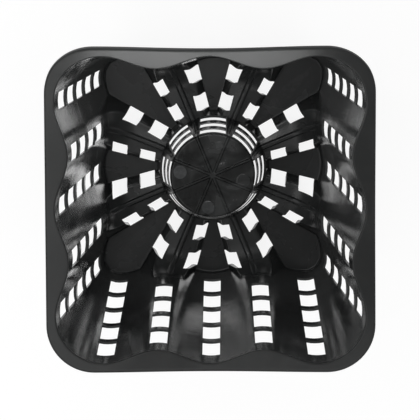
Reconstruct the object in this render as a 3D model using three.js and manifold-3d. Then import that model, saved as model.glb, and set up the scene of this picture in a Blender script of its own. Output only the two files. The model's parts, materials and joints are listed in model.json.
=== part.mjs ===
// Square air pruning pot, one plastic moulding, modelled as its named regions.
// Millimetres, +Z up, feet on z = 0, the axis of the pot on the origin, front towards -Y.
import * as THREE from "three";
import { mergeVertices } from "three/addons/utils/BufferGeometryUtils.js";
import Module from "manifold-3d";

const wasm = await Module();
wasm.setup();

// Overall sizes
const POT_HEIGHT = 254;
const RIM_WIDTH = 254;
const FLOOR_WIDTH = 180; // inside the walls, across two opposite middle lobes
const SHELL = 2; // thickness of walls and floor
const REGION_GAP = 0.3; // hairline kept between neighbouring regions of the moulding

// Rim
const RIM_CORNER_RADIUS = 37;
const RIM_LEDGE = 7.6; // narrowest stretch of the flat flange, beside a lobe
const LIP_DEPTH = 12;
const RIM_CORNER_FACETS = 8;

// Wavy walls
const MOUTH_CORNER_RADIUS = 36.8;
const FLOOR_CORNER_RADIUS = 13.7;
const MOUTH_FLUTE_DEPTH = 10.5; // how far a flute leans into the pot
const FLOOR_FLUTE_DEPTH = 8.8;
const WALL_END_ANGLE = THREE.MathUtils.degToRad(33); // share of a corner arc that belongs to a wall
const WAVE_STEPS = 20; // facets along one wall
const CORNER_STEPS = 3; // facets on each third of a corner arc

// Air slots in the walls
const SLOT_WIDTH = 14;
const SLOT_BAR = 5; // plastic left between two slots of a column
const SLOT_RIM_MARGIN = 20;
const SLOT_FOOT_MARGIN = 22.5;
const LOBE_ROWS = 5;
const FLUTE_ROWS = 4;

// Slotted hub in the middle of the floor, its windows stepped like a staircase between eight posts
const HUB_HEIGHT = 63;
const HUB_FOOT_RADIUS = 46.5;
const HUB_TOP_RADIUS = 34.7;
const HUB_STEP = 3.05; // each band of a window stands this much further out than the one above
const HUB_SIGHT_GAP = 1.1; // open width of a slot as seen from above
const HUB_FACETS = 48;
const HUB_WINDOW_WIDTH = 22;
const HUB_BAND_LAP = 0.8; // how far a band runs into the posts
const HUB_SLOT_ROWS = 3;
const HUB_SLOT_HEIGHT = 5.3;
const HUB_SLOT_PITCH = 14.6;
const HUB_TOP_BAND = 5.6; // height of the band under the cap
const POST_RIB_PROUD = 1.2;
const RIB_WIDTH = 2.6;
const RIB_HEIGHT = 1.4;
const GATE_RADIUS = 3.2;
const GATE_HEIGHT = 1.8;
const PIN_MARK_RADIUS = 6;
const PIN_MARK_HEIGHT = 0.4;
const PIN_MARK_EDGE = 2.2; // from a mark to the edge of the cap
const PIN_MARK_ANGLE = THREE.MathUtils.degToRad(-9);
const SMALL_MARK_RADIUS = 3.3;
const SMALL_MARK_EDGE = 6.9;
const MARK_FACETS = 16;

// Floor: low petals that the pot stands on, raised ridges between them
const SECTORS = 8;
const PETAL_HUB_WIDTH = 6.2;
const PETAL_WALL_WIDTH = 29;
const RIDGE_EDGE_HEIGHT = 20;
const RIDGE_RISE = 2; // from its edge to the foot of its rib
const RIDGE_FLANK_LEAN = 5.5;
const RIDGE_RIB_WIDTH = 5;
const RIDGE_RIB_HEIGHT = 2.5;
const RIDGE_RIB_LEAN = 1;
const SHOULDER_RADIUS = 26; // of the curve in which a ridge climbs the wall
const SHOULDER_PINCH = 6; // how much each side of the roof draws in on the way up
const SHOULDER_FACETS = 4;

// Floor holes, two in the foot of each flank of a ridge
const HOLE_WIDTH = 9.8;
const HOLE_HUB_LAND = 2.1;
const HOLE_MIDDLE_LAND = 10.5;
const HOLE_WALL_LAND = 6.1;

// Sizes that follow from those above
const SECTOR_ANGLE = (2 * Math.PI) / SECTORS;
const FLANGE_UNDERSIDE = POT_HEIGHT - SHELL;
const MOUTH_HALF = RIM_WIDTH / 2 - RIM_LEDGE;
const FLOOR_HALF = FLOOR_WIDTH / 2;
const WALL_LEAN = Math.atan((MOUTH_HALF - FLOOR_HALF) / POT_HEIGHT);
const HUB_CAP_UNDERSIDE = HUB_HEIGHT - SHELL;
const HUB_TOP_SLOT = HUB_CAP_UNDERSIDE - HUB_TOP_BAND - HUB_SLOT_HEIGHT; // lower edge of the highest slot
const HUB_SILL = HUB_TOP_SLOT - (HUB_SLOT_ROWS - 1) * HUB_SLOT_PITCH;
const HOLE_LENGTH = (FLOOR_HALF - HUB_FOOT_RADIUS - HOLE_HUB_LAND - HOLE_MIDDLE_LAND - HOLE_WALL_LAND) / 2;
const INNER_HOLE_START = HUB_FOOT_RADIUS + HOLE_HUB_LAND;
const OUTER_HOLE_START = INNER_HOLE_START + HOLE_LENGTH + HOLE_MIDDLE_LAND;
const PETAL_SPREAD = (PETAL_WALL_WIDTH - PETAL_HUB_WIDTH) / 2 / (FLOOR_HALF - HUB_FOOT_RADIUS);
const FLOOR_TOP = RIDGE_EDGE_HEIGHT + RIDGE_RISE + RIDGE_RIB_HEIGHT;
const SHOULDER_RISE = SHOULDER_RADIUS * (1 - Math.sin(WALL_LEAN));
const SHOULDER_TOP = FLOOR_TOP + SHOULDER_RISE;
const CUT = 1; // how far a cutting body runs past the surface that it opens
const SLOT_CUTTER_DEPTH = 4 * MOUTH_FLUTE_DEPTH;
const UNTRIMMED_START = HUB_FOOT_RADIUS * Math.cos(SECTOR_ANGLE / 2) - CUT; // floor bodies start in the hub
const UNTRIMMED_END = 2 * FLOOR_HALF; // and end past the walls, until they are trimmed
const MERGE_TOLERANCE = 1e-4;

const blackPlastic = new THREE.MeshStandardMaterial({ color: 0x1d1f1f, roughness: 0.42, metalness: 0 });

// A closed three.js geometry as a solid that can be joined and cut.
function solidOf(geometry) {
  const bare = new THREE.BufferGeometry();
  bare.setAttribute("position", geometry.getAttribute("position").clone());
  bare.setIndex(geometry.getIndex());
  const merged = mergeVertices(bare, MERGE_TOLERANCE);
  const mesh = new wasm.Mesh({
    numProp: 3,
    vertProperties: new Float32Array(merged.getAttribute("position").array),
    triVerts: new Uint32Array(merged.getIndex().array),
  });
  return new wasm.Manifold(mesh);
}

function geometryOf(solid) {
  const mesh = solid.getMesh();
  const geometry = new THREE.BufferGeometry();
  geometry.setAttribute("position", new THREE.BufferAttribute(mesh.vertProperties, 3));
  geometry.setIndex(new THREE.BufferAttribute(mesh.triVerts, 1));
  return geometry;
}

// A body between two outlines with as many points each, both anticlockwise as seen against its direction.
function loft(startOutline, endOutline, placeStart, placeEnd) {
  const count = startOutline.length;
  const points = [...startOutline.map(placeStart), ...endOutline.map(placeEnd)];
  const indices = [];
  for (const [a, b, c] of THREE.ShapeUtils.triangulateShape(startOutline, [])) indices.push(a, c, b);
  for (const [a, b, c] of THREE.ShapeUtils.triangulateShape(endOutline, [])) {
    indices.push(count + a, count + b, count + c);
  }
  for (let i = 0; i < count; i++) {
    const next = (i + 1) % count;
    indices.push(i, next, count + next, i, count + next, count + i);
  }
  const geometry = new THREE.BufferGeometry().setFromPoints(points);
  geometry.setIndex(indices);
  return solidOf(geometry);
}

function loftUp(bottomOutline, topOutline, bottom, top) {
  const placeBottom = (p) => new THREE.Vector3(p.x, p.y, bottom);
  const placeTop = (p) => new THREE.Vector3(p.x, p.y, top);
  return loft(bottomOutline, topOutline, placeBottom, placeTop);
}

// Along a ridge, whose outlines lie across it: x of the outline is its width, y its height.
function loftAlong(innerOutline, outerOutline, innerReach, outerReach) {
  const placeInner = (p) => new THREE.Vector3(innerReach, p.x, p.y);
  const placeOuter = (p) => new THREE.Vector3(outerReach, p.x, p.y);
  return loft(innerOutline, outerOutline, placeInner, placeOuter);
}

function block(sizeX, sizeY, bottom, top) {
  const geometry = new THREE.BoxGeometry(sizeX, sizeY, top - bottom);
  geometry.translate(0, 0, (bottom + top) / 2);
  return geometry;
}

function disc(radius, bottom, top) {
  const geometry = new THREE.CylinderGeometry(radius, radius, top - bottom, MARK_FACETS);
  geometry.rotateX(Math.PI / 2);
  geometry.translate(0, 0, (bottom + top) / 2);
  return geometry;
}

function turned(geometry, angle) {
  return solidOf(geometry.clone().rotateZ(angle));
}

// Plan of the pot at a height

function betweenFloorAndMouth(floorSize, mouthSize, height) {
  return THREE.MathUtils.lerp(floorSize, mouthSize, height / POT_HEIGHT);
}

function planAt(height) {
  const half = betweenFloorAndMouth(FLOOR_HALF, MOUTH_HALF, height);
  const radius = betweenFloorAndMouth(FLOOR_CORNER_RADIUS, MOUTH_CORNER_RADIUS, height);
  const flute = betweenFloorAndMouth(FLOOR_FLUTE_DEPTH, MOUTH_FLUTE_DEPTH, height);
  return { half, radius, flute, column: half - radius };
}

// Points of the front wall's line from left to right, with part of the corner arc at each end.
function wallLine(height, outward, endAngle) {
  const plan = planAt(height);
  const arc = (side, angle) => {
    const radius = plan.radius + outward;
    const x = side * (plan.column + radius * Math.sin(angle));
    return new THREE.Vector2(x, -plan.column - radius * Math.cos(angle));
  };
  const points = [];
  for (let i = 0; i < CORNER_STEPS; i++) points.push(arc(-1, endAngle * (1 - i / CORNER_STEPS)));
  for (let i = 0; i <= WAVE_STEPS; i++) {
    const share = (2 * i) / WAVE_STEPS - 1;
    const inward = (plan.flute * (1 - Math.cos(2 * Math.PI * share))) / 2;
    points.push(new THREE.Vector2(share * plan.column, inward - plan.half - outward));
  }
  for (let i = 1; i <= CORNER_STEPS; i++) points.push(arc(1, endAngle * (i / CORNER_STEPS)));
  return points;
}

// The whole closed line round the pot, anticlockwise from above.
function planLine(height, outward) {
  const origin = new THREE.Vector2();
  const points = [];
  for (let side = 0; side < 4; side++) {
    for (const point of wallLine(height, outward, Math.PI / 4).slice(0, -1)) {
      points.push(point.clone().rotateAround(origin, (side * Math.PI) / 2));
    }
  }
  return points;
}

function potInside(clearance, bottom, top) {
  return loftUp(planLine(bottom, -clearance), planLine(top, -clearance), bottom, top);
}

// A body of revolution round the pot's axis from its [radius, height] corners.
function turnedBody(corners) {
  const profile = corners.map(([radius, height]) => new THREE.Vector2(radius, height));
  const geometry = new THREE.LatheGeometry(profile, HUB_FACETS);
  geometry.rotateX(Math.PI / 2);
  return solidOf(geometry);
}

// Outer radius of a band of the windows, counted down from the one under the cap.
function hubBandRadius(row) {
  return HUB_TOP_RADIUS + row * HUB_STEP;
}

// Outer radius of the hub's posts and foot at a height.
function hubFaceRadius(height) {
  const sillRadius = hubBandRadius(HUB_SLOT_ROWS);
  if (height < HUB_SILL) return THREE.MathUtils.lerp(HUB_FOOT_RADIUS, sillRadius, height / HUB_SILL);
  const share = (height - HUB_SILL) / (HUB_CAP_UNDERSIDE - HUB_SILL);
  return THREE.MathUtils.lerp(sillRadius, HUB_TOP_RADIUS, share);
}

// The hub as a solid, its outer face moved out by a clearance and its foot run on below the floor.
function hubCore(clearance) {
  return turnedBody([
    [0, -CUT],
    [HUB_FOOT_RADIUS + clearance, -CUT],
    [HUB_FOOT_RADIUS + clearance, 0],
    [hubFaceRadius(HUB_SILL) + clearance, HUB_SILL],
    [HUB_TOP_RADIUS + clearance, HUB_CAP_UNDERSIDE],
    [HUB_TOP_RADIUS + clearance, HUB_HEIGHT],
    [0, HUB_HEIGHT],
  ]);
}

// Petal edges and what is set out along them

// Half the width of a petal at a distance from the pot's axis.
function petalHalfWidth(reach) {
  return PETAL_HUB_WIDTH / 2 + PETAL_SPREAD * (reach - HUB_FOOT_RADIUS);
}

// Half the width of a ridge at a distance from the axis: its sides are the edges of the petals beside it.
function ridgeHalfWidth(reach) {
  const axis = new THREE.Vector2();
  const edgePoint = (petalReach) => {
    const point = new THREE.Vector2(petalReach, petalHalfWidth(petalReach));
    return point.rotateAround(axis, -SECTOR_ANGLE / 2);
  };
  const hubEnd = edgePoint(HUB_FOOT_RADIUS);
  const wallEnd = edgePoint(FLOOR_HALF);
  const share = (reach - hubEnd.x) / (wallEnd.x - hubEnd.x);
  return -THREE.MathUtils.lerp(hubEnd.y, wallEnd.y, share);
}

// Upright cutters for the holes beside both edges of the petal along +X.
function petalHoles() {
  const edgeAngle = Math.atan(PETAL_SPREAD);
  const across = HOLE_WIDTH / Math.cos(edgeAngle);
  const setBack = HOLE_WIDTH * Math.tan(edgeAngle / 2); // towards the hub, on the side away from the petal
  const cutters = [];
  for (const start of [INNER_HOLE_START, OUTER_HOLE_START]) {
    const end = start + HOLE_LENGTH;
    const outline = [
      new THREE.Vector2(start, petalHalfWidth(start)),
      new THREE.Vector2(end, petalHalfWidth(end)),
      new THREE.Vector2(end - setBack, petalHalfWidth(end - setBack) + across),
      new THREE.Vector2(start - setBack, petalHalfWidth(start - setBack) + across),
    ];
    const cutter = loftUp(outline, outline, -CUT, SHOULDER_TOP + CUT);
    cutters.push(cutter, cutter.mirror([0, 1, 0]));
  }
  return cutters;
}

// Regions of the moulding

function rimFlange() {
  const half = RIM_WIDTH / 2;
  const square = (inset) => {
    const outline = new THREE.Shape();
    const reach = half - inset;
    const corner = half - RIM_CORNER_RADIUS;
    const radius = RIM_CORNER_RADIUS - inset;
    outline.moveTo(-corner, -reach);
    outline.lineTo(corner, -reach);
    outline.absarc(corner, -corner, radius, -Math.PI / 2, 0, false);
    outline.absarc(corner, corner, radius, 0, Math.PI / 2, false);
    outline.absarc(-corner, corner, radius, Math.PI / 2, Math.PI, false);
    outline.absarc(-corner, -corner, radius, Math.PI, (3 * Math.PI) / 2, false);
    return outline;
  };
  const raised = (outline, bottom, top) => {
    const geometry = new THREE.ExtrudeGeometry(outline, {
      depth: top - bottom,
      bevelEnabled: false,
      curveSegments: RIM_CORNER_FACETS,
    });
    geometry.translate(0, 0, bottom);
    geometry.deleteAttribute("normal");
    geometry.deleteAttribute("uv");
    return solidOf(mergeVertices(geometry, MERGE_TOLERANCE));
  };
  const skirted = raised(square(0), POT_HEIGHT - LIP_DEPTH, POT_HEIGHT);
  const hollow = raised(square(SHELL), POT_HEIGHT - LIP_DEPTH - CUT, FLANGE_UNDERSIDE);
  const mouthLine = planLine(POT_HEIGHT, 0);
  const mouth = loftUp(mouthLine, mouthLine, FLANGE_UNDERSIDE - CUT, POT_HEIGHT + CUT);
  return skirted.subtract(hollow).subtract(mouth);
}

// One side wall without its slots, from the floor to the underside of the flange.
function plainWall() {
  const strip = (height) => {
    const plan = planAt(height);
    const trimmed = WALL_END_ANGLE - REGION_GAP / 2 / plan.radius;
    return [...wallLine(height, SHELL, trimmed), ...wallLine(height, 0, trimmed).reverse()];
  };
  return loftUp(strip(0), strip(FLANGE_UNDERSIDE), 0, FLANGE_UNDERSIDE);
}

function slottedWall() {
  const rowPitch = (POT_HEIGHT - SLOT_RIM_MARGIN - SLOT_FOOT_MARGIN + SLOT_BAR) / LOBE_ROWS;
  const columns = [
    { place: -1, rows: LOBE_ROWS },
    { place: -0.5, rows: FLUTE_ROWS },
    { place: 0, rows: LOBE_ROWS },
    { place: 0.5, rows: FLUTE_ROWS },
    { place: 1, rows: LOBE_ROWS },
  ];
  let wall = plainWall();
  for (const { place, rows } of columns) {
    for (let row = 0; row < rows; row++) {
      const top = POT_HEIGHT - SLOT_RIM_MARGIN - row * rowPitch;
      const bottom = top - rowPitch + SLOT_BAR;
      const plan = planAt((top + bottom) / 2);
      const cutter = block(SLOT_WIDTH, SLOT_CUTTER_DEPTH, bottom, top);
      cutter.translate(place * plan.column, -plan.half, 0);
      wall = wall.subtract(solidOf(cutter));
    }
  }
  for (const side of [-1, 1]) {
    wall = wall.subtract(channelMouth().rotate([0, 0, -90 + (side * 180) / SECTORS]));
  }
  return wall;
}

// The plain quarter-round strip between two side walls.
function cornerPost() {
  const strip = (height) => {
    const plan = planAt(height);
    const first = WALL_END_ANGLE + REGION_GAP / 2 / plan.radius;
    const last = Math.PI / 2 - first;
    const line = (radius) => {
      const points = [];
      for (let i = 0; i <= CORNER_STEPS; i++) {
        const angle = THREE.MathUtils.lerp(first, last, i / CORNER_STEPS);
        const x = plan.column + radius * Math.sin(angle);
        points.push(new THREE.Vector2(x, -plan.column - radius * Math.cos(angle)));
      }
      return points;
    };
    return [...line(plan.radius + SHELL), ...line(plan.radius).reverse()];
  };
  return loftUp(strip(0), strip(FLANGE_UNDERSIDE), 0, FLANGE_UNDERSIDE);
}

// A flat petal along +X.
function floorPetal() {
  const startHalf = petalHalfWidth(UNTRIMMED_START) - REGION_GAP / 2;
  const endHalf = petalHalfWidth(UNTRIMMED_END) - REGION_GAP / 2;
  const outline = [
    new THREE.Vector2(UNTRIMMED_START, -startHalf),
    new THREE.Vector2(UNTRIMMED_END, -endHalf),
    new THREE.Vector2(UNTRIMMED_END, endHalf),
    new THREE.Vector2(UNTRIMMED_START, startHalf),
  ];
  return loftUp(outline, outline, 0, SHELL);
}

// Half the width of a ridge's roof, which draws in as the roof climbs the wall.
function roofHalfWidth({ reach, rise }) {
  const pinch = (SHOULDER_PINCH * rise) / SHOULDER_RISE;
  return ridgeHalfWidth(reach) - REGION_GAP / 2 - RIDGE_FLANK_LEAN - pinch;
}

function ridgeOutline(station) {
  const foot = ridgeHalfWidth(station.reach) - REGION_GAP / 2;
  const edge = roofHalfWidth(station);
  const ribFoot = RIDGE_RIB_WIDTH / 2;
  const ribTop = ribFoot - RIDGE_RIB_LEAN;
  const edgeHeight = RIDGE_EDGE_HEIGHT + station.rise;
  const ribFootHeight = edgeHeight + RIDGE_RISE;
  const ribTopHeight = ribFootHeight + RIDGE_RIB_HEIGHT;
  return [
    new THREE.Vector2(-foot, 0),
    new THREE.Vector2(foot, 0),
    new THREE.Vector2(edge, edgeHeight),
    new THREE.Vector2(ribFoot, ribFootHeight),
    new THREE.Vector2(ribTop, ribTopHeight),
    new THREE.Vector2(-ribTop, ribTopHeight),
    new THREE.Vector2(-ribFoot, ribFootHeight),
    new THREE.Vector2(-edge, edgeHeight),
  ];
}

function channelOutline(station) {
  const foot = ridgeHalfWidth(station.reach) - REGION_GAP / 2 - SHELL;
  const edge = roofHalfWidth(station) - SHELL;
  const edgeHeight = RIDGE_EDGE_HEIGHT + station.rise - SHELL;
  return [
    new THREE.Vector2(-foot, -CUT),
    new THREE.Vector2(foot, -CUT),
    new THREE.Vector2(edge, edgeHeight),
    new THREE.Vector2(0, edgeHeight + RIDGE_RISE),
    new THREE.Vector2(-edge, edgeHeight),
  ];
}

// The air channel under a ridge as it opens through the wall.
function channelMouth() {
  const near = { reach: UNTRIMMED_START, rise: 0 };
  const far = { reach: UNTRIMMED_END, rise: 0 };
  return loftAlong(channelOutline(near), channelOutline(far), near.reach, far.reach);
}

// Distance from the axis at which the wall crosses a ridge, at the height of the ridge's roof.
function wallReachOnRidge() {
  const { half, flute, column } = planAt(RIDGE_EDGE_HEIGHT + RIDGE_RISE);
  const sideways = (half - flute) * Math.tan(SECTOR_ANGLE / 2);
  const wave = (flute * (1 - Math.cos((2 * Math.PI * sideways) / column))) / 2;
  return (half - wave) / Math.cos(SECTOR_ANGLE / 2);
}

// A body along +X that runs level from start, then climbs the wall round a curve of the given radius.
function climbingBody(outlineAt, radius, start, end) {
  const turn = Math.PI / 2 - WALL_LEAN;
  const curveStart = wallReachOnRidge() - SHOULDER_RADIUS * Math.tan(turn / 2);
  const stations = [{ reach: start, rise: 0 }];
  for (let step = 0; step <= SHOULDER_FACETS; step++) {
    const angle = (turn * step) / SHOULDER_FACETS;
    const reach = curveStart + radius * Math.sin(angle);
    stations.push({ reach, rise: radius * (1 - Math.cos(angle)) });
  }
  stations.push({ reach: end, rise: stations.at(-1).rise });
  let body = null;
  for (let k = 1; k < stations.length; k++) {
    const [near, far] = [stations[k - 1], stations[k]];
    const piece = loftAlong(outlineAt(near), outlineAt(far), near.reach, far.reach);
    body = body ? body.add(piece) : piece;
  }
  return body;
}

// A raised ridge along +X: a hollow roof with a rib along its top.
function floorRidge() {
  let ridge = climbingBody(ridgeOutline, SHOULDER_RADIUS, UNTRIMMED_START + CUT, UNTRIMMED_END - CUT);
  const hollow = climbingBody(channelOutline, SHOULDER_RADIUS + SHELL, UNTRIMMED_START, UNTRIMMED_END);
  ridge = ridge.subtract(hollow);
  for (const side of [-180, 180]) {
    for (const cutter of petalHoles()) ridge = ridge.subtract(cutter.rotate([0, 0, side / SECTORS]));
  }
  return ridge;
}

// Eight arms as wide as the windows and a lap on each side, from the axis past the foot of the hub.
function windowStar(lap, bottom, top) {
  const width = HUB_WINDOW_WIDTH + 2 * lap;
  const length = 2 * (HUB_FOOT_RADIUS + HUB_TOP_RADIUS);
  const bars = [];
  for (let k = 0; k < SECTORS / 2; k++) {
    bars.push(turned(block(length, width, bottom, top), k * SECTOR_ANGLE));
  }
  return bars.reduce((star, bar) => star.add(bar));
}

function hubBand(row) {
  const top = row === 0 ? HUB_CAP_UNDERSIDE : HUB_TOP_SLOT - (row - 1) * HUB_SLOT_PITCH;
  const bottom = HUB_TOP_SLOT + HUB_SLOT_HEIGHT - row * HUB_SLOT_PITCH;
  const outer = hubBandRadius(row);
  const inner = outer - HUB_STEP + HUB_SIGHT_GAP;
  const ring = turnedBody([
    [inner, bottom],
    [outer, bottom],
    [outer, top],
    [inner, top],
    [inner, bottom],
  ]);
  return ring.intersect(windowStar(HUB_BAND_LAP, bottom - CUT, top + CUT));
}

// The rib on the post along +X, from just above the floor ridge to the cap.
function postRib() {
  const bottom = FLOOR_TOP + REGION_GAP;
  const footRadius = hubFaceRadius(bottom);
  const outline = [
    new THREE.Vector2(footRadius - SHELL / 2, bottom),
    new THREE.Vector2(footRadius + POST_RIB_PROUD, bottom),
    new THREE.Vector2(HUB_TOP_RADIUS + POST_RIB_PROUD, HUB_CAP_UNDERSIDE),
    new THREE.Vector2(HUB_TOP_RADIUS - SHELL / 2, HUB_CAP_UNDERSIDE),
  ];
  const placeRight = (p) => new THREE.Vector3(p.x, RIB_WIDTH / 2, p.y);
  const placeLeft = (p) => new THREE.Vector3(p.x, -RIB_WIDTH / 2, p.y);
  return loft(outline, outline, placeRight, placeLeft);
}

function hubCone() {
  const sillRadius = hubFaceRadius(HUB_SILL);
  const shell = turnedBody([
    [HUB_FOOT_RADIUS - SHELL, 0],
    [HUB_FOOT_RADIUS, 0],
    [sillRadius, HUB_SILL],
    [HUB_TOP_RADIUS, HUB_CAP_UNDERSIDE],
    [HUB_TOP_RADIUS - SHELL, HUB_CAP_UNDERSIDE],
    [sillRadius - SHELL, HUB_SILL],
    [HUB_FOOT_RADIUS - SHELL, 0],
  ]);
  let cone = shell.subtract(windowStar(0, HUB_SILL, HUB_CAP_UNDERSIDE + CUT));
  for (let row = 0; row < HUB_SLOT_ROWS; row++) cone = cone.add(hubBand(row));
  for (let k = 0; k < SECTORS; k++) {
    cone = cone.add(postRib().rotate([0, 0, ((k + 0.5) * 360) / SECTORS]));
  }
  return cone;
}

function hubCap() {
  const buried = HUB_HEIGHT - SHELL / 2;
  const ribReach = HUB_TOP_RADIUS + POST_RIB_PROUD;
  const mark = (radius, edge, angle) => {
    const geometry = disc(radius, buried, HUB_HEIGHT + PIN_MARK_HEIGHT);
    geometry.translate(HUB_TOP_RADIUS - edge - radius, 0, 0);
    return turned(geometry, angle + PIN_MARK_ANGLE);
  };
  let cap = turnedBody([
    [0, HUB_CAP_UNDERSIDE],
    [HUB_TOP_RADIUS, HUB_CAP_UNDERSIDE],
    [HUB_TOP_RADIUS, HUB_HEIGHT],
    [0, HUB_HEIGHT],
  ]);
  for (let k = 0; k < SECTORS; k++) {
    const rib = block(ribReach, RIB_WIDTH, HUB_CAP_UNDERSIDE, HUB_HEIGHT + RIB_HEIGHT);
    rib.translate(ribReach / 2, 0, 0);
    cap = cap.add(turned(rib, (k + 0.5) * SECTOR_ANGLE));
  }
  for (const angle of [0, Math.PI, 1.5 * Math.PI]) {
    cap = cap.add(mark(PIN_MARK_RADIUS, PIN_MARK_EDGE, angle));
  }
  cap = cap.add(mark(SMALL_MARK_RADIUS, SMALL_MARK_EDGE, Math.PI / 2));
  return cap.add(solidOf(disc(GATE_RADIUS, buried, HUB_HEIGHT + GATE_HEIGHT)));
}

const pot = new THREE.Group();

function place(name, solid, angle = 0) {
  const mesh = new THREE.Mesh(geometryOf(solid), blackPlastic.clone());
  mesh.name = name;
  mesh.rotation.z = angle;
  pot.add(mesh);
}

place("rim_flange", rimFlange());

const wall = slottedWall();
const post = cornerPost();
["front", "right", "back", "left"].forEach((side, k) => place(`wall_${side}`, wall, (k * Math.PI) / 2));
["front_right", "back_right", "back_left", "front_left"].forEach((corner, k) => {
  place(`corner_${corner}`, post, (k * Math.PI) / 2);
});

// The floor regions are trimmed to the wavy walls and to the hub in their own direction.
const inside = potInside(REGION_GAP, -CUT, SHOULDER_TOP + CUT);
const hubClearance = hubCore(REGION_GAP);
for (let k = 0; k < SECTORS; k++) {
  const petalAngle = (k * 360) / SECTORS;
  const ridgeAngle = petalAngle + 180 / SECTORS;
  const petal = floorPetal().rotate([0, 0, petalAngle]);
  const ridge = floorRidge().rotate([0, 0, ridgeAngle]);
  place(`floor_petal_${k + 1}`, petal.intersect(inside).subtract(hubClearance));
  place(`floor_ridge_${k + 1}`, ridge.intersect(inside).subtract(hubClearance));
}

place("hub_cone", hubCone());
place("hub_cap", hubCap());

export default pot;
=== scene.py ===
import json
import math

import bmesh
import bpy
import numpy as np
from mathutils import Matrix, Vector

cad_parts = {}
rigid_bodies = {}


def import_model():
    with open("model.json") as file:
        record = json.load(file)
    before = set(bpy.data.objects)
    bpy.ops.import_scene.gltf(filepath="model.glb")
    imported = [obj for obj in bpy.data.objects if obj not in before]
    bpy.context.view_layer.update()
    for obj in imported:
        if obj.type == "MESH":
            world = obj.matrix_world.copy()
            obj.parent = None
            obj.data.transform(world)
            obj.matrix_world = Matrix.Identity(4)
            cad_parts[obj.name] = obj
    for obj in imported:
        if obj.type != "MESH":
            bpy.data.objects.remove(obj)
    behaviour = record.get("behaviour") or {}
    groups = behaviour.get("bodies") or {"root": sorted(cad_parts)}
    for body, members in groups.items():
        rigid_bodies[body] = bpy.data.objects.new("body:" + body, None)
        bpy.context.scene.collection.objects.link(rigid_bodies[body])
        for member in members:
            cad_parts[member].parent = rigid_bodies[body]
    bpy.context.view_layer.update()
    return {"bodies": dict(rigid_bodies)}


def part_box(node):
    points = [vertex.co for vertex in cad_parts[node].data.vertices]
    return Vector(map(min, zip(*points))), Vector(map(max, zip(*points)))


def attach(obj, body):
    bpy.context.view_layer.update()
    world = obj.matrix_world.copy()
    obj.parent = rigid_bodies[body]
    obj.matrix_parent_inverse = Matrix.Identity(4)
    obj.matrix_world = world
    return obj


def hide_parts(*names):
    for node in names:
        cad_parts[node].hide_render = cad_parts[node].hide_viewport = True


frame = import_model()
mm = 0.001
root = "root" if "root" in frame["bodies"] else next(iter(frame["bodies"]))
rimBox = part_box("rim_flange")
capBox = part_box("hub_cap")

# sizes of the whole pot, which more than one piece uses
pot = {
    "height": rimBox[1][2],
    "rimHalf": rimBox[1][0],
    "mouthHalf": 119.4 * mm,  # inside, at the top of a lobe
    "floorHalf": 90 * mm,
    "mouthCorner": 36.8 * mm,
    "floorCorner": 13.7 * mm,
    "mouthFlute": 10.5 * mm,  # how far a flute leans in
    "floorFlute": 8.8 * mm,
    "shell": 2 * mm,
    "hubFoot": 46.5 * mm,
    "sectors": 8,
    "embed": 1 * mm,  # how far one piece runs into the plastic of the next
    "skew": 0.01,  # the moulding's floor lies a little askew under its rim
    "arcEnd": 0.999,  # how far round a corner a wall's own curve is followed
}


# camera, with the view of the photograph

camera = {
    "target": (-0.0002157, 0.000335, pot["height"]),
    "distance": 3.0,  # metres
    "towardRight": 0.0103,  # radians off the pot's axis
    "towardBack": 0.1502,
    "roll": -0.0045,
    "lens": 335.9,
    "sensor": 36,
    "sight": 30,  # metres
}


def addObject(name, data):
    item = bpy.data.objects.new(name, data)
    bpy.context.collection.objects.link(item)
    return item


def addCamera():
    sideways, back = camera["towardRight"], camera["towardBack"]
    level = math.cos(back)
    out = Vector((math.sin(sideways) * level, math.sin(back), math.cos(sideways) * level))
    right = (-out).cross(Vector((0, 1, 0))).normalized()
    up = right.cross(-out)
    data = bpy.data.cameras.new("photoView")
    data.sensor_width = camera["sensor"]
    data.lens = camera["lens"]
    data.clip_end = camera["sight"]
    view = addObject("photoView", data)
    roll = Matrix.Rotation(camera["roll"], 3, "Z")
    pose = (Matrix((right, up, out)).transposed() @ roll).to_4x4()
    pose.translation = Vector(camera["target"]) + camera["distance"] * out
    view.matrix_world = pose
    bpy.context.scene.camera = view


addCamera()
print("camera placed")


# meshes from grids of points

finish = {
    "wallEdge": 0.35 * mm,  # rounding of cut edges
    "floorEdge": 0.28 * mm,
    "softSteps": 2,
}


def blend(a, b, share):
    return a + (b - a) * share


def within(value, low, high):
    return min(max(value, low), high)


def quarterArc(steps):
    # sine and cosine of the steps of a quarter turn, without its start
    angles = [math.pi / 2 * k / steps for k in range(1, steps + 1)]
    return [(math.sin(a), math.cos(a)) for a in angles]


def newMesh():
    bm = bmesh.new()
    bm.edges.layers.float.new("bevel_weight_edge")
    # marks the vertices that get the painted edge highlight
    bm.verts.layers.float.new("paintedEdgeShine")
    return bm


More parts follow.
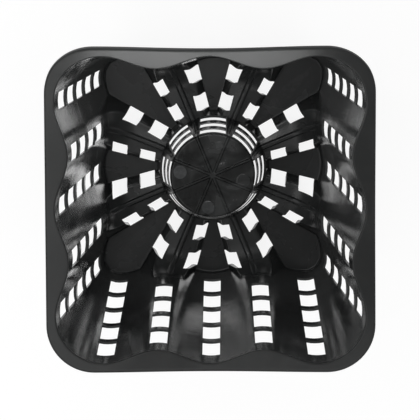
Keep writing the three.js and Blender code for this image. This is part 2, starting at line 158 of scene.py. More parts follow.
def addShell(bm, near, far, keep, hidden=()):
    # two grids of points with plastic between them where keep says so
    # the grid's borders that are named in hidden lie inside a neighbour and stay sharp
    rows, columns = keep.shape
    points = {}

    def vertex(side, row, column):
        key = (side, row, column)
        if key not in points:
            points[key] = bm.verts.new((near, far)[side][row][column])
        return points[key]

    def kept(row, column):
        return 0 <= row < rows and 0 <= column < columns and keep[row, column]

    soft, sharp, corners = [], [], {}
    for row in range(rows):
        for column in range(columns):
            if not keep[row, column]:
                continue
            loop = [(row, column), (row, column + 1), (row + 1, column + 1), (row + 1, column)]
            bm.faces.new([vertex(0, *p) for p in loop])
            bm.faces.new([vertex(1, *p) for p in reversed(loop)])
            # each side: the cell beyond it, the grid's border that it may lie on, its direction
            borders = [
                ((row - 1, column), "first row", row == 0, 0),
                ((row, column + 1), "last column", column == columns - 1, 1),
                ((row + 1, column), "last row", row == rows - 1, 0),
                ((row, column - 1), "first column", column == 0, 1),
            ]
            for side, (beyond, border, onBorder, direction) in enumerate(borders):
                if kept(*beyond):
                    continue
                a, b = loop[side], loop[(side + 1) % 4]
                face = bm.faces.new([vertex(0, *b), vertex(0, *a), vertex(1, *a), vertex(1, *b)])
                tucked = onBorder and border in hidden
                (sharp if tucked else soft).extend([face.edges[0], face.edges[2]])
                if not tucked:
                    for p in (a, b):
                        corners.setdefault(p, set()).add(direction)
    weight = bm.edges.layers.float["bevel_weight_edge"]
    for line in soft:
        line[weight] = 1
    for line in sharp:
        line.smooth = False
    for p, directions in corners.items():
        if len(directions) == 2:
            bm.edges.get((vertex(0, *p), vertex(1, *p)))[weight] = 1


def addSweep(bm, rings, closed=False, paintedEdgeLight=()):
    # a closed outline swept along rings of points, with flat ends unless the path closes
    loops = [[bm.verts.new(p) for p in ring] for ring in rings]
    # the listed vertices get the painted edge highlight
    paintedEdgeShine = bm.verts.layers.float["paintedEdgeShine"]
    for loop in loops:
        for i in paintedEdgeLight:
            loop[i][paintedEdgeShine] = 1
    count = len(loops[0])
    pairs = list(zip(loops, loops[1:])) + ([(loops[-1], loops[0])] if closed else [])
    for ringA, ringB in pairs:
        for i in range(count):
            j = (i + 1) % count
            bm.faces.new([ringA[i], ringA[j], ringB[j], ringB[i]])
    if not closed:
        for cap in (bm.faces.new(list(reversed(loops[0]))), bm.faces.new(loops[-1])):
            for line in cap.edges:
                line.smooth = False


def finishPiece(bm, name, look, nodes, softEdge=None, evenNormals=True):
    for vertex in bm.verts:
        x, y, z = vertex.co
        askew = pot["skew"] * max(0, 1 - z / rimBox[0][2])
        vertex.co = (x + askew * y, y + askew * x, z)
    bmesh.ops.recalc_face_normals(bm, faces=bm.faces)
    for face in bm.faces:
        face.smooth = True
    mesh = bpy.data.meshes.new(name)
    bm.to_mesh(mesh)
    bm.free()
    piece = addObject(name, mesh)
    if softEdge:
        bevel = piece.modifiers.new("softEdges", "BEVEL")
        bevel.limit_method = "WEIGHT"
        bevel.width = softEdge
        bevel.segments = finish["softSteps"]
    if evenNormals:
        piece.modifiers.new("evenNormals", "WEIGHTED_NORMAL").keep_sharp = True
    piece.data.materials.append(plastics[look])
    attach(piece, root)
    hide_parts(*nodes)


# plan of the walls at a height, as seen for the front wall

def planAt(height):
    share = height / pot["height"]
    half = blend(pot["floorHalf"], pot["mouthHalf"], share)
    radius = blend(pot["floorCorner"], pot["mouthCorner"], share)
    flute = blend(pot["floorFlute"], pot["mouthFlute"], share)
    return half, radius, flute, half - radius


def wallReach(x, height, outward=0.0):
    # distance of the wall's face from the pot's middle plane
    half, radius, flute, column = planAt(height)
    if abs(x) <= column:
        return half + outward - flute * (1 - math.cos(2 * math.pi * x / column)) / 2
    across = min(abs(x) - column, (radius + outward) * pot["arcEnd"])
    return column + math.sqrt((radius + outward) ** 2 - across ** 2)


def turn(point, quarterTurns=0, angle=0.0):
    a = angle + quarterTurns * math.pi / 2
    x, y, z = point
    return (x * math.cos(a) - y * math.sin(a), x * math.sin(a) + y * math.cos(a), z)


# floor: petals on the ground, ridges between them

floorShape = {
    "petalHubWidth": 6.2 * mm,
    "petalWallWidth": 29 * mm,
    "flankWidth": 5.5 * mm,
    "edgeHeight": 20 * mm,  # top of a ridge at the edge of its roof
    "roofRise": 1.2 * mm,
    "ribHalf": 2.5 * mm,
    "ribHeight": 2.5 * mm,
    "holeWidth": 9.8 * mm,
    "holeLength": 12.4 * mm,
    "hubLand": 2.1 * mm,  # from the hub to the inner hole
    "middleLand": 10.5 * mm,  # between the holes
    "shoulder": 26 * mm,  # radius of the curve in which a ridge climbs the wall
    "pinch": 6 * mm,  # how much each side of the roof draws in on the way up
    "petalFillet": 2 * mm,  # curve from a petal up the wall
    "channelSunk": 1 * mm,  # the channels' sides start this far below the ground
    "wallSearch": (20 * mm, 100 * mm),  # along a line of the floor, where to look for the wall
    "hubSearch": (-30 * mm, 30 * mm),
    "flatShare": 0.2,  # of the way from the outer hole to the wall, level at least so far
    "underEnd": 1.2 * mm,  # the underside's last two lines, from the wall's face
    "underTip": 1.3 * mm,
    "deepest": 1.3 * mm,  # no point of the floor lies deeper in the wall
    "tipRise": 0.2 * mm,  # of the last line on top
    "tipDrop": 0.5 * mm,  # and below
    "flushHeight": 0.4 * mm,  # ends of a petal's underside
    "holeLift": 0.3,  # of the roof's rise, at the end of the holes
    "holeDraw": 0.75,  # of the pinch, at the end of the holes
    # lines along a sector, as shares of the way across each stretch and up it
    "petalLines": (0, 0.02, 0.3, 0.6, 0.85),
    "flankLines": (
        (0, 0), (0.08, 0.012), (0.16, 0.06), (0.25, 0.15), (0.47, 0.5),
        (0.7, 0.84), (0.79, 0.925), (0.88, 0.975), (1, 1),
    ),
    "flankUnder": (0.3, 0.8, 3),  # share and power of its rise, lines until a shell's thickness
    "holeLines": (0.3, 0.65, 1),
    "roofLines": (0.4, 0.75, 0.93, 1),
    "ribLines": ((0.86, 0.14), (0.66, 0.76), (0.52, 0.95), (0.3, 1), (0, 1)),
    # cells from the hub outwards: level ones lie past the outer hole, before the climb
    "cells": {"hub": 3, "hole": 4, "middle": 4, "level": 2, "climb": 9},
}

onAxis = 1e-7  # how far off a ridge's middle the line along its middle lies
halfSector = math.pi / pot["sectors"]
channelTop = floorShape["edgeHeight"] - pot["shell"]


def edgeLine():
    # the petal's edge in the frame of the ridge beside it: a point, its direction,
    # the way to the ridge and the angle at which the petal widens
    widening = floorShape["petalWallWidth"] - floorShape["petalHubWidth"]
    spread = widening / 2 / (pot["floorHalf"] - pot["hubFoot"])
    half = floorShape["petalHubWidth"] / 2
    start = turn((pot["hubFoot"], -half, 0), angle=halfSector)
    along = turn((1, -spread, 0), angle=halfSector)
    length = math.hypot(along[0], along[1])
    along = (along[0] / length, along[1] / length)
    return start[:2], along, (along[1], -along[0]), math.atan(spread)


def channelHalf(reach, height):
    # half the width of the air channel under a ridge
    start, along, _, _ = edgeLine()
    foot = start[1] + (reach - start[0]) * along[1] / along[0]
    sunk = floorShape["channelSunk"]
    return foot - pot["shell"] - floorShape["flankWidth"] * (height + sunk) / (channelTop + sunk)


# walls: one grid for each side, from corner diagonal to corner diagonal

wallShape = {
    "columns": (-1, -0.5, 0, 0.5, 1),
    "fluteShare": 0.5,  # flutes lie half a lobe off the middle
    "slotWidth": 13.6 * mm,
    "slotBar": 5 * mm,
    "slotSill": 0.7 * mm,  # how far a slot stops short of the bar below it
    "slotHead": 1.7 * mm,  # and of the bar above it
    "rimMargin": 20 * mm,
    "footMargin": 22.5 * mm,
    "footLine": 1.2 * mm,  # an extra line of the grid below the slots
    "rimLines": (0.4, 1 * mm),  # and two below the flange: share of the way, distance
    "mouthShares": (0, 0.35, 0.7),  # lines up the mouth of an air channel
    "mouthSearch": (5 * mm, 80 * mm, 400),  # where to look for its sides, and in how many steps
    "lobeRows": 5,
    "fluteRows": 4,
    "cornerSteps": 10,
    "diagonalShare": 0.97,  # a thin last cell keeps the shading of neighbouring sides alike
    "gapSteps": 8,  # cells between two columns of slots
    "slotSteps": 4,  # cells across a slot
    "rowSteps": 4,  # cells up a slot
}


def mouthEdges(height):
    # where the sides of an air channel cross the front wall, right of its middle
    x = np.linspace(*wallShape["mouthSearch"])
    y = np.array([wallReach(value, height) for value in x])
    sine, cosine = math.sin(halfSector), math.cos(halfSector)
    reach, across = x * sine + y * cosine, x * cosine - y * sine
    return [float(np.interp(0, across - side * channelHalf(reach, height), x)) for side in (-1, 1)]


def wallStations():
    # each station: kind, column share, and its offset or share of the way
    shape = wallShape
    slotHalf, steps = shape["slotWidth"] / 2, shape["cornerSteps"]
    arc = [1] + [shape["diagonalShare"] * (1 - k / steps) for k in range(steps)]
    stations = [("arc", -1, q) for q in arc]
    for index, share in enumerate(shape["columns"]):
        if index > 0:
            stations += [("gap", index, k / shape["gapSteps"]) for k in range(1, shape["gapSteps"])]
        for k in range(shape["slotSteps"] + 1):
            stations.append(("slot", share, slotHalf * (2 * k / shape["slotSteps"] - 1)))
    return stations + [("arc", 1, q) for q in reversed(arc)]


def wallPlanPoint(station, height, outward, mouth=None):
    # x and reach of a station, as seen for the front wall
    _, radius, _, column = planAt(height)
    slotHalf, columns = wallShape["slotWidth"] / 2, wallShape["columns"]

    def slotX(share, offset):
        if mouth and abs(share) == wallShape["fluteShare"]:
            low, high = mouth if share > 0 else (-mouth[1], -mouth[0])
            return blend(low, high, (offset / slotHalf + 1) / 2)
        return share * column + offset

    kind, share, value = station
    if kind == "arc":
        angle = blend(math.asin(slotHalf / radius), math.pi / 4, value)
        size = radius + outward
        return share * (column + size * math.sin(angle)), column + size * math.cos(angle)
    if kind == "gap":
        x = blend(slotX(columns[share - 1], slotHalf), slotX(columns[share], -slotHalf), value)
    else:
        x = slotX(share, value)
    return x, wallReach(x, height, outward)


def wallRows():
    # each line of the grid: its height, and its slot's index from the rim or None between slots
    shape = wallShape
    upper, lower = pot["height"] - shape["rimMargin"], shape["footMargin"]
    pitch = (upper - lower + shape["slotBar"]) / shape["lobeRows"]
    lines = [(channelTop * share, "mouth") for share in shape["mouthShares"]]
    lines += [(channelTop, "lintel"), (lower - shape["footLine"], None)]
    for row in reversed(range(shape["lobeRows"])):
        top = upper - row * pitch
        sill = top - pitch + shape["slotBar"] + shape["slotSill"]
        head = top - shape["slotHead"]
        for k in range(shape["rowSteps"]):
            lines.append((blend(sill, head, k / shape["rowSteps"]), row))
        lines.append((head, None))
    flange = pot["height"] - pot["shell"]
    share, short = shape["rimLines"]
    return lines + [(z, None) for z in (blend(lines[-1][0], flange, share), flange - short, flange)]


def wallGrids():
    stations, lines = wallStations(), wallRows()
    faces = np.zeros((2, len(lines), len(stations), 3))

    def inFlute(station):
        return station[0] == "slot" and abs(station[1]) == wallShape["fluteShare"]

    for r, (height, mark) in enumerate(lines):
        mouth = mouthEdges(height) if mark == "mouth" else None
        for c, station in enumerate(stations):
            z = height
            if mark == "lintel" and inFlute(station):
                z += floorShape["roofRise"] * (1 - 2 * abs(station[2]) / wallShape["slotWidth"])
            for face, outward in zip(faces, (0, pot["shell"])):
                x, reach = wallPlanPoint(station, height, outward, mouth)
                face[r, c] = (x, -reach, z)
    keep = np.ones((len(lines) - 1, len(stations) - 1), bool)
    for r, (_, mark) in enumerate(lines[:-1]):
        for c, (a, b) in enumerate(zip(stations, stations[1:])):
            if not (a[0] == b[0] == "slot" and a[1] == b[1]):
                continue
            rows = wallShape["fluteRows" if inFlute(a) else "lobeRows"]
            if (mark == "mouth" and inFlute(a)) or (isinstance(mark, int) and mark < rows):
                keep[r, c] = False
    return faces, keep


# floor in sectors: each runs from the middle of one petal over a ridge to the middle of the next

def hubReach(height):
    # outer radius of the hub's foot at a height
    return blend(pot["hubFoot"], hubShape["sillRadius"], within(height / hubShape["sill"], 0, 1))


def bisect(low, high, beyond, halvings=34):
    for _ in range(halvings):
        middle = (low + high) / 2
        low, high = (low, middle) if beyond(middle) else (middle, high)
    return low


class Guide:
    # a line along the floor in the frame of a ridge, with the four marks of its two holes
    def __init__(self, start, along, marks):
        self.start = np.array(start, float)
        self.along = np.array(along, float)
        self.marks = list(marks)

    def at(self, s):
        return self.start + self.along * s


def between(first, second, share):
    # a guide part of the way from one guide to another
    start = blend(first.start, second.start, share)
    along = blend(first.along, second.along, share)
    along = along / np.linalg.norm(along)
    pairs = zip(first.marks, second.marks)
    places = [blend(first.at(a), second.at(b), share) for a, b in pairs]
    return Guide(start, along, [float(np.dot(place - start, along)) for place in places])


def climbingLine(guide, height, radius, pinch, side, ridgeAngle):
    # points of the floor's top along a guide, with the points of its underside
    shape, cells, thick = floorShape, floorShape["cells"], pot["shell"]
    sideways = -math.copysign(pinch, guide.start[1]) if abs(guide.start[1]) > 2 * onAxis else 0.0

    def plan(s, climbed):
        u, v = guide.at(s)
        return turn((u, (v + sideways * climbed) * side, 0), angle=ridgeAngle)[:2]

    def wallAt(z):
        def beyond(s):
            x, y = plan(s, 1)
            return max(abs(x), abs(y)) > wallReach(min(abs(x), abs(y)), z)
        return bisect(*shape["wallSearch"], beyond)

    hubEnd = bisect(*shape["hubSearch"], lambda s: np.linalg.norm(guide.at(s)) > hubReach(height))
    corner = wallAt(height)
    lean = math.atan2(wallAt(height + radius) - corner, radius)
    turnEnd = math.pi / 2 - lean
    curveStart = corner - radius * math.tan(turnEnd / 2)
    rise = radius * (1 - math.cos(turnEnd))

    def turnAt(s):
        return math.asin(within((s - curveStart) / radius, 0, math.sin(turnEnd)))

    last, curveEnd = guide.marks[-1], curveStart + radius * math.sin(turnEnd)
    level = max(curveStart, blend(last, curveEnd, shape["flatShare"]))
    ends = [hubEnd, *guide.marks, level]
    stops = [hubEnd - pot["embed"]]
    for a, b, kind in zip(ends, ends[1:], ("hub", "hole", "middle", "hole", "level")):
        stops += [blend(a, b, k / cells[kind]) for k in range(cells[kind])]
    lastTurn, steps = turnAt(level), cells["climb"]
    angles = [blend(lastTurn, turnEnd, k / steps) for k in range(steps + 1)]
    if lastTurn == 0:
        stops.append(level)
        angles = angles[1:]
    stops += [curveStart + radius * math.sin(a) for a in angles]
    top, under = [], []
    for s in stops:
        a = turnAt(s)
        climbed = radius * (1 - math.cos(a))
        top.append((*plan(s, climbed / rise), height + climbed))
        low = min(s + thick * math.sin(a), stops[-1] + shape["underEnd"])
        under.append((*plan(low, climbed / rise), height + climbed - thick * math.cos(a)))
    top.append((*plan(stops[-1] + pot["embed"], 1), top[-1][2] + shape["tipRise"]))
    under.append((*plan(stops[-1] + shape["underTip"], 1), under[-1][2] - shape["tipDrop"]))
    return np.array(top), np.array(under)


def keepBehind(point, height, outward):
    # moves a point back to the wall's face at a height where it lies further out
    far = 0 if abs(point[0]) > abs(point[1]) else 1
    limit = wallReach(abs(point[1 - far]), height, outward)
    point[far] = math.copysign(min(abs(point[far]), limit), point[far])


def halfSectorGrid(ridgeAngle, side):
    # the floor's top and underside from the middle of a petal to the middle of a ridge
    shape = floorShape
    start, along, inward, spread = edgeLine()
    step = math.tan(spread / 2)
    lengths = ("hubLand", "holeLength", "middleLand", "holeLength")
    reaches = np.cumsum([shape[key] for key in lengths])
    edgeMarks = reaches / math.cos(spread)

    def offset(t):
        # a line beside the petal's edge, with its hole marks a little further out
        place = (start[0] + inward[0] * t, start[1] + inward[1] * t)
        return Guide(place, along, edgeMarks + t * step)

    axis = turn((1, 0, 0), angle=halfSector)[:2]
    centre = Guide((axis[0] * pot["hubFoot"], axis[1] * pot["hubFoot"]), axis, reaches)
    edge, roofEdge, hole = (offset(t) for t in (0, shape["flankWidth"], shape["holeWidth"]))
    holeEnds = [hole.at(m)[0] - start[0] for m in hole.marks]

    def straight(v):
        return Guide((start[0], v), (1, 0), holeEnds)

    low, high = pot["shell"], shape["edgeHeight"]
    ribFoot = high + shape["roofRise"]
    holeHeight = high + shape["roofRise"] * shape["holeLift"]
    fillet, shoulder, pinch = shape["petalFillet"], shape["shoulder"], shape["pinch"]
    holePinch = pinch * shape["holeDraw"]
    # each station: guide, height, radius of its climb, pinch
    stations = [(between(centre, edge, a), low, fillet, 0) for a in shape["petalLines"]]
    flankStart = len(stations)
    for a, rise in shape["flankLines"]:
        guide, climb = between(edge, roofEdge, a), blend(fillet, shoulder, rise)
        stations.append((guide, blend(low, high, rise), climb, pinch * rise))
    flankEnd = len(stations) - 1
    for a in shape["holeLines"]:
        guide, height = between(roofEdge, hole, a), blend(high, holeHeight, a)
        stations.append((guide, height, shoulder, blend(pinch, holePinch, a)))
    holeEnd = len(stations) - 1
    for a in shape["roofLines"]:
        guide, height = between(hole, straight(shape["ribHalf"]), a), blend(holeHeight, ribFoot, a)
        stations.append((guide, height, shoulder, blend(holePinch, 0, a)))
    for across, rise in shape["ribLines"]:
        guide = straight(max(shape["ribHalf"] * across, onAxis))
        stations.append((guide, ribFoot + shape["ribHeight"] * rise, shoulder, 0))

    grids = [climbingLine(*station, side, ridgeAngle) for station in stations]
    tops, unders = (np.array(grid) for grid in zip(*grids))
    unders[: flankStart + 1] = tops[: flankStart + 1]
    unders[: flankStart + 1, :, 2] = 0
    roofUnder = unders[flankEnd].copy()
    rest, power, reach = shape["flankUnder"]
    for j in range(flankStart + 1, flankEnd):
        share = (j - flankStart) / (flankEnd - flankStart)
        unders[j, :, :2] = blend(tops[flankStart, :, :2], roofUnder[:, :2], share)
        unders[j, :, 2] = roofUnder[:, 2] * max(0.0, (share - rest) / (1 - rest)) ** power
    shift = np.array(turn((0, -side * pot["shell"], 0), angle=ridgeAngle)[:2])
    for j in range(flankStart + 1, flankEnd + 2):
        unders[j, :, :2] += shift * min(1.0, (j - flankStart) / reach)
    ceiling, inner = unders[holeEnd, :, 2], unders[holeEnd + 1 :, :, 2]
    inner[:] = np.minimum(inner, ceiling + shape["roofRise"])
    for grid in (tops, unders):
        for point in grid.reshape(-1, 3):
            keepBehind(point, point[2], shape["deepest"])
    # the petals' undersides end flush with the wall and the hub, then slip into them
    for j in range(flankStart + 1):
        unders[j, [0, -1], 2] = shape["flushHeight"]
        for point in unders[j, :-1]:
            keepBehind(point, 0, 0)
    return tops.transpose(1, 0, 2), unders.transpose(1, 0, 2), (flankStart, holeEnd)


def floorSector(ridgeAngle):
    (*one, (start, end)), (*other, _) = (halfSectorGrid(ridgeAngle, side) for side in (1, -1))
    top, under = (np.concatenate([a, b[:, -2::-1]], axis=1) for a, b in zip(one, other))
    cells, columns = floorShape["cells"], top.shape[1] - 1
    keep = np.ones((len(top) - 1, columns), bool)
    innerRow = 1 + cells["hub"]
    for row in (innerRow, innerRow + cells["hole"] + cells["middle"]):
        crossed = keep[row : row + cells["hole"]]
        crossed[:, start:end] = crossed[:, columns - end : columns - start] = False
    return top, under, keep


# hub: a foot ring, posts with ribs, and stepped bands between them

hubShape = {
    "topRadius": 34.7 * mm,  # of the disc, without its ribs' ends
    "step": 3.05 * mm,  # each band lies this much further out than the one above
    "sightGap": 1.1 * mm,  # what can be seen through between two bands from above
    "windowHalf": 11 * mm,
    "bandLap": 0.8 * mm,  # how far a band runs into the posts
    "bandLean": 0.112,  # how far a band leans out for each step down
    "slotRows": 3,
    "slotHeight": 5.3 * mm,
    "slotPitch": 14.6 * mm,
    "topBand": 5.6 * mm,
    "ribHalf": 1.3 * mm,
    "ribProud": 1.2 * mm,
    "bandSteps": 20,
    "ringSteps": 192,
    "postSteps": 12,
    "round": 0.6 * mm,
    "postRound": 0.35 * mm,
    "postEdge": (0.5 * mm, 0.06 * mm),  # depth of a post's edge and of the line beside it
    "postEnds": (1 * mm, 0.5 * mm),  # how far a post runs into the foot ring and the disc
    "capUnder": capBox[0][2],
}
hubShape["topSlot"] = hubShape["capUnder"] - hubShape["topBand"] - hubShape["slotHeight"]
hubShape["sill"] = hubShape["topSlot"] - (hubShape["slotRows"] - 1) * hubShape["slotPitch"]
hubShape["sillRadius"] = hubShape["topRadius"] + hubShape["slotRows"] * hubShape["step"]


def roundedOutline(corners, radius, steps=3, most=0.45):
    # the outline of a polygon with its corners rounded, by at most this share of a side
    outline = []
    count = len(corners)
    for i in range(count):
        before, here, after = (np.array(corners[(i + k) % count], float) for k in (-1, 0, 1))
        sides = [before - here, after - here]
        lengths = [np.linalg.norm(side) for side in sides]
        size = min(radius, most * min(lengths))
        a, b = (here + side / length * size for side, length in zip(sides, lengths))
        for k in range(steps + 1):
            t = k / steps
            outline.append(tuple((1 - t) ** 2 * a + 2 * t * (1 - t) * here + t * t * b))
    return outline


def around(outline, angle):
    return [(r * math.cos(angle), r * math.sin(angle), z) for r, z in outline]


def buildHub(bm):
    shape, thick = hubShape, pot["shell"]
    foot, edge, sill = pot["hubFoot"], shape["sillRadius"], shape["sill"]
    foot = [(foot - thick, 0), (foot, 0), (edge, sill), (edge - thick, sill)]
    outline = roundedOutline(foot, shape["round"])
    steps = shape["ringSteps"]
    addSweep(bm, [around(outline, 2 * math.pi * k / steps) for k in range(steps)], closed=True)
    for sector in range(pot["sectors"]):
        windowAngle = sector * 2 * halfSector
        for row in range(shape["slotRows"]):
            outer = shape["topRadius"] + row * shape["step"]
            inner = outer - shape["step"] + shape["sightGap"]
            top = shape["topSlot"] - (row - 1) * shape["slotPitch"] if row else shape["capUnder"]
            bottom = shape["topSlot"] + shape["slotHeight"] - row * shape["slotPitch"]
            slant = shape["bandLean"] * (top - bottom)
            corners = [(inner + slant, bottom), (outer, bottom), (outer - slant, top), (inner, top)]
            outline = roundedOutline(corners, shape["round"])
            reach = math.asin((shape["windowHalf"] + shape["bandLap"]) / outer)
            count = shape["bandSteps"]
            angles = [windowAngle + reach * (2 * k / count - 1) for k in range(count + 1)]
            half = len(outline) // 2  # painted highlight at the upper outer corner
            addSweep(bm, [around(outline, a) for a in angles], paintedEdgeLight=(half + 1, half + 2))
        addPost(bm, windowAngle + halfSector)


def addPost(bm, angle):
    # a post narrows upwards and carries a rib along its middle
    shape, thick = hubShape, pot["shell"]
    rib, proud, soft = shape["ribHalf"], shape["ribProud"], shape["postRound"]
    edgeDepth, sideDepth = shape["postEdge"]
    low, high = shape["postEnds"]
    rings = []
    for k in range(shape["postSteps"] + 1):
        share = k / shape["postSteps"]
        height = blend(shape["sill"] - low, shape["capUnder"] + high, share)
        radius = blend(shape["sillRadius"], shape["topRadius"], share)
        edge = radius * math.sin(halfSector - math.asin(shape["windowHalf"] / radius))
        # across the post and depth below its face, from an edge to the middle of the rib
        outside = [
            (edge, edgeDepth), (edge - soft, sideDepth), (edge - 2 * soft, 0.0),
            (rib + soft, 0.0), (rib, -soft * 0.6), (rib - soft * 0.5, -proud + soft),
            (rib - 1.3 * soft, -proud), (0, -proud),
        ]
        mirrored = [(-w, d) for w, d in reversed(outside[:-1])]
        inside = [(-edge, thick - soft), (-edge + soft, thick)]
        inside += [(-w, d) for w, d in reversed(inside)]
        ring = []
        for w, depth in outside + mirrored + inside:
            r = math.sqrt(radius ** 2 - w ** 2) - depth
            x = r * math.cos(angle) - w * math.sin(angle)
            y = r * math.sin(angle) + w * math.cos(angle)
            ring.append((x, y, height))
        rings.append(ring)
    addSweep(bm, rings)


# hub cap: a disc with ribs, an injection gate and ejector marks

capShape = {
    "edgeRound": 2.0 * mm,
    "ribHalf": 1.05 * mm,
    "ribSoft": 1.3 * mm,
    "ribHeight": 1.3 * mm,
    "gateRadius": 2.3 * mm,
    "gateHeight": 1.35 * mm,
    "gateSoft": 0.8 * mm,
    "chamfer": 0.3 * mm,
    "ringCount": 84,
    "angleSteps": 720,
    "edgeSteps": 5,
    # in mm: reach, angle in degrees, radius, height, softness, and how dull a spot it leaves
    "marks": [
        (26.5, 174.4, 5.6, 0.3, 0.5, 1),
        (27.0, 262.6, 5.4, 0.28, 0.5, 0.7),
        (25.8, -11.0, 5.6, 0.28, 0.5, 0.2),
        (24.5, 77.0, 3.3, 0.35, 0.5, 0.4),
        (9.9, 137.5, 0.9, 0.5, 0.5, 0),
        (9.6, 56.0, 0.7, 0.4, 2.4, 0),
        (11.3, 50.5, 0.7, 0.55, 2.4, 0),
        (13.2, 45.5, 0.7, 0.4, 2.4, 0),
    ],
}


def softStep(value, edge, width):
    t = np.clip((value - edge) / width + 0.5, 0, 1)
    return t * t * (3 - 2 * t)


def markCentre(reach, degrees):
    angle = math.radians(degrees)
    return reach * mm * math.cos(angle), reach * mm * math.sin(angle)


def capHeights(x, y):
    # height of the disc's relief above its flat face
    shape = capShape
    relief = np.zeros_like(x)
    for k in range(pot["sectors"]):
        angle = (k + 0.5) * 2 * halfSector
        along = x * math.cos(angle) + y * math.sin(angle)
        across = np.abs(-x * math.sin(angle) + y * math.cos(angle))
        rib = 1 - softStep(across, shape["ribHalf"], shape["ribSoft"])
        relief = np.maximum(relief, np.where(along > 0, rib, 0) * shape["ribHeight"])
    middle = 1 - softStep(np.hypot(x, y), shape["gateRadius"], shape["gateSoft"])
    relief = np.maximum(relief, middle * shape["gateHeight"])
    for reach, degrees, radius, height, soft, _ in shape["marks"]:
        cx, cy = markCentre(reach, degrees)
        inside = 1 - softStep(np.hypot(x - cx, y - cy), radius * mm, soft * mm)
        relief = np.maximum(relief, inside * (height * mm))
    return relief


def buildCap(bm):
    shape = capShape
    radius, under = hubShape["topRadius"], hubShape["capUnder"]
    flat = radius - shape["edgeRound"]
    top = pot["shell"] + under
    steps = shape["angleSteps"]
    angles = np.arange(steps) * 2 * math.pi / steps

    def circle(r):
        return r * np.cos(angles), r * np.sin(angles)

    def ring(r, z):
        return np.stack([*circle(r), z + 0 * angles], 1)

    reaches = [flat * k / shape["ringCount"] for k in range(1, shape["ringCount"] + 1)]
    rings = [ring(r, top + capHeights(*circle(r))) for r in reaches]
    relief, size = capHeights(*circle(flat)), shape["edgeRound"]
    for sine, cosine in quarterArc(shape["edgeSteps"]):
        rings.append(ring(flat + size * sine, top - size * (1 - cosine) + relief * cosine))
    rings += [ring(radius, under + shape["chamfer"]), ring(radius - shape["chamfer"], under)]
    loops = [[bm.verts.new(p) for p in ring] for ring in rings]
    for ringA, ringB in zip(loops, loops[1:]):
        for i in range(steps):
            j = (i + 1) % steps
            bm.faces.new([ringA[i], ringB[i], ringB[j], ringA[j]])
    peak = bm.verts.new((0, 0, top + shape["gateHeight"]))
    base = bm.verts.new((0, 0, under))
    for i in range(steps):
        j = (i + 1) % steps
        bm.faces.new([peak, loops[0][i], loops[0][j]])
        bm.faces.new([base, loops[-1][j], loops[-1][i]])


# rim: flat flange, rolled outer edge and down-turned lip

rimShape = {
    "cornerRadius": 37 * mm,
    "innerRound": 1.0 * mm,
    "outerRound": 2.2 * mm,
    "lipDepth": 12 * mm,
    "lipThick": 1.8 * mm,
    "lipFlare": 0.3 * mm,  # the lip widens downwards
    "bow": {"front": 1.0 * mm, "right": 0.3 * mm, "back": 1.9 * mm, "left": 0.0},
    "backInset": 1.7 * mm,
    "insetFrom": 0.9,  # of the way to the back wall's outer face, where the inset starts
    "droop": 0.3 * mm,  # the flange falls a little towards its edge
    "innerSteps": 4,
    "outerSteps": 5,
    "flangeLines": (0.15, 0.5, 0.85, 1),
}


def drawnIn(point):
    # the back of the rim lies a little nearer to the middle
    x, y, z = point
    start = (planAt(z)[0] + pot["shell"]) * rimShape["insetFrom"]
    share = within((y - start) / (pot["rimHalf"] - start), 0, 1)
    return x, y - rimShape["backInset"] * share, z


def buildRim(bm):
    shape, stations = rimShape, wallStations()
    top = pot["height"]
    under = top - pot["shell"]
    half = pot["rimHalf"] - shape["lipFlare"]
    corner = half - shape["cornerRadius"]
    slotEnd = planAt(top)[3] + wallShape["slotWidth"] / 2
    rings = []
    for quarter, bow in enumerate(shape["bow"].values()):
        mouth, outer = [], []  # points of the mouth; points of the edge with their ways out
        for kind, share, value in stations:
            x, reach = wallPlanPoint((kind, share, value), top, 0)
            mouth.append((x, -reach))
            if kind == "arc":
                a, size = math.pi / 4 * value, shape["cornerRadius"]
                nx, ny = share * math.sin(a), -math.cos(a)
                outer.append((share * corner + size * nx, size * ny - corner, nx, ny))
            else:
                px = x * corner / slotEnd
                bend = 1 - (px / corner) ** 2
                slope = 4 * bow * bend * px / corner ** 2
                length = math.hypot(slope, 1)
                outer.append((px, -(half - bow * bend ** 2), slope / length, -1 / length))
        for c, station in enumerate(stations[:-1]):
            (ax, ay), (bx, by) = mouth[max(c - 1, 0)], mouth[c + 1]
            tangent = (bx - ax, by - ay) if c > 0 else (1, -1)
            length = math.hypot(*tangent)
            outX, outY = tangent[1] / length, -tangent[0] / length
            mx, my = mouth[c]
            ox, oy, nx, ny = outer[c]

            def wallPoint(z, outward=0):
                x, reach = wallPlanPoint(station, z, outward)
                return x, -reach, z

            soft = shape["innerRound"]
            ring = [wallPoint(under), wallPoint(top - soft)]
            for sine, cosine in quarterArc(shape["innerSteps"]):
                d = soft * (1 - cosine)
                ring.append((mx + outX * d, my + outY * d, top - soft + soft * sine))
            fromX, fromY = mx + outX * soft, my + outY * soft
            soft = shape["outerRound"]
            toX, toY = ox - nx * soft, oy - ny * soft
            for k in shape["flangeLines"]:
                ring.append((blend(fromX, toX, k), blend(fromY, toY, k), top - shape["droop"] * k))
            for sine, cosine in quarterArc(shape["outerSteps"]):
                z = top - shape["droop"] - soft + soft * cosine
                ring.append((toX + nx * soft * sine, toY + ny * soft * sine, z))
            low, thick, flare = top - shape["lipDepth"], shape["lipThick"], shape["lipFlare"]
            lip = [  # way out from the rim's edge, height
                (flare * 0.95, low + 0.5 * mm), (flare * 0.75, low),
                (flare - thick * 0.85, low), (flare - thick, low + 0.4 * mm),
                (-thick - 0.3 * mm, under - 0.6 * mm), (-thick - 0.9 * mm, under),
            ]
            ring += [(ox + nx * d, oy + ny * d, z) for d, z in lip]
            ring.append(wallPoint(under, pot["shell"]))
            rings.append([drawnIn(turn(p, quarter)) for p in ring])
    addSweep(bm, rings, closed=True)


# shared effects for the plastic

